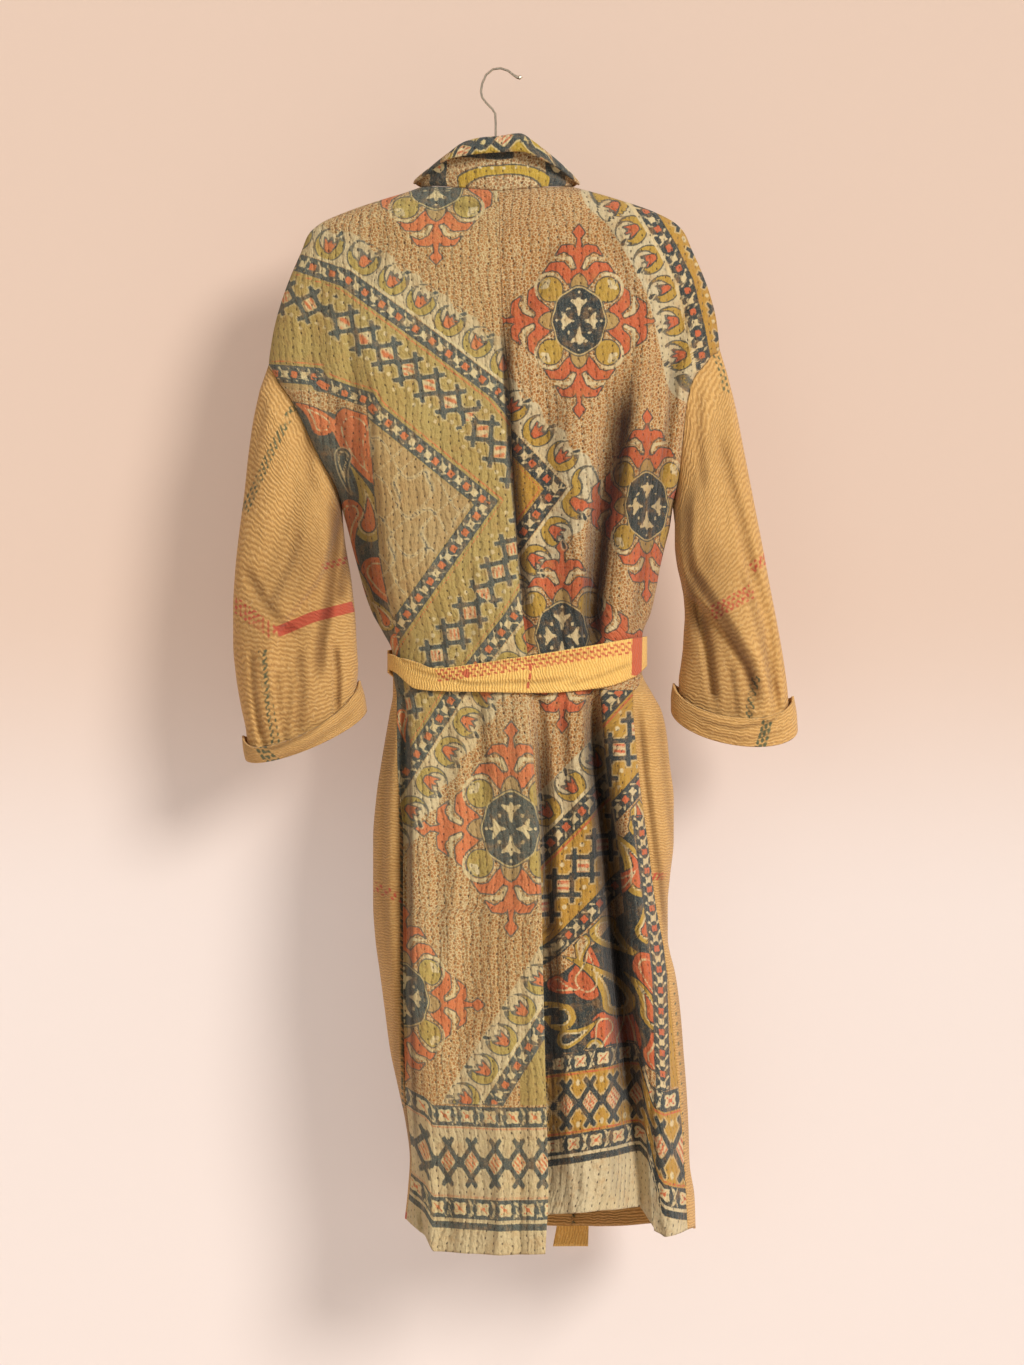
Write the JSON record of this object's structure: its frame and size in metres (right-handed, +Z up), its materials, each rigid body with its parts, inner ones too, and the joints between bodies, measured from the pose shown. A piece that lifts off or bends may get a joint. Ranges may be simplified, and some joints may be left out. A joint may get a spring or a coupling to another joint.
{
  "type": "long coat on a hanger",
  "caption": "Long wrap coat of thin stitched quilt with roll collar, turned-up cuffs, tied belt and back vent, hung on a plain hanger.",
  "frame": {"origin": "inside the top of the hanger's hook, where it hangs on a rail", "axes": "+Z up, -Y towards the coat's front, +X towards the wearer's left"},
  "size_m": [0.6145, 0.2316, 1.2934],
  "materials": {
    "print_left": "matt printed cotton, running stitch",
    "print_right": "matt printed cotton, running stitch",
    "tan_cloth": "matt cotton, dense running stitch",
    "collar_cloth": "matt printed cotton",
    "belt_cloth": "matt cotton with stitched red dashes",
    "wire": "bright pale wire",
    "bar": "plain, satin"
  },
  "bodies": {
    "root": {"back_left": "print_left", "back_right": "print_right", "front_left": "tan_cloth", "front_right": "tan_cloth", "sleeve_left": "tan_cloth", "sleeve_right": "tan_cloth", "cuff_left": "tan_cloth", "cuff_right": "tan_cloth", "collar": "collar_cloth", "belt": "belt_cloth", "belt_knot": "belt_cloth", "belt_end_long": "belt_cloth", "belt_end_short": "belt_cloth", "hanger_hook": "wire", "hanger_bar": "bar"}
  },
  "joints": []
}
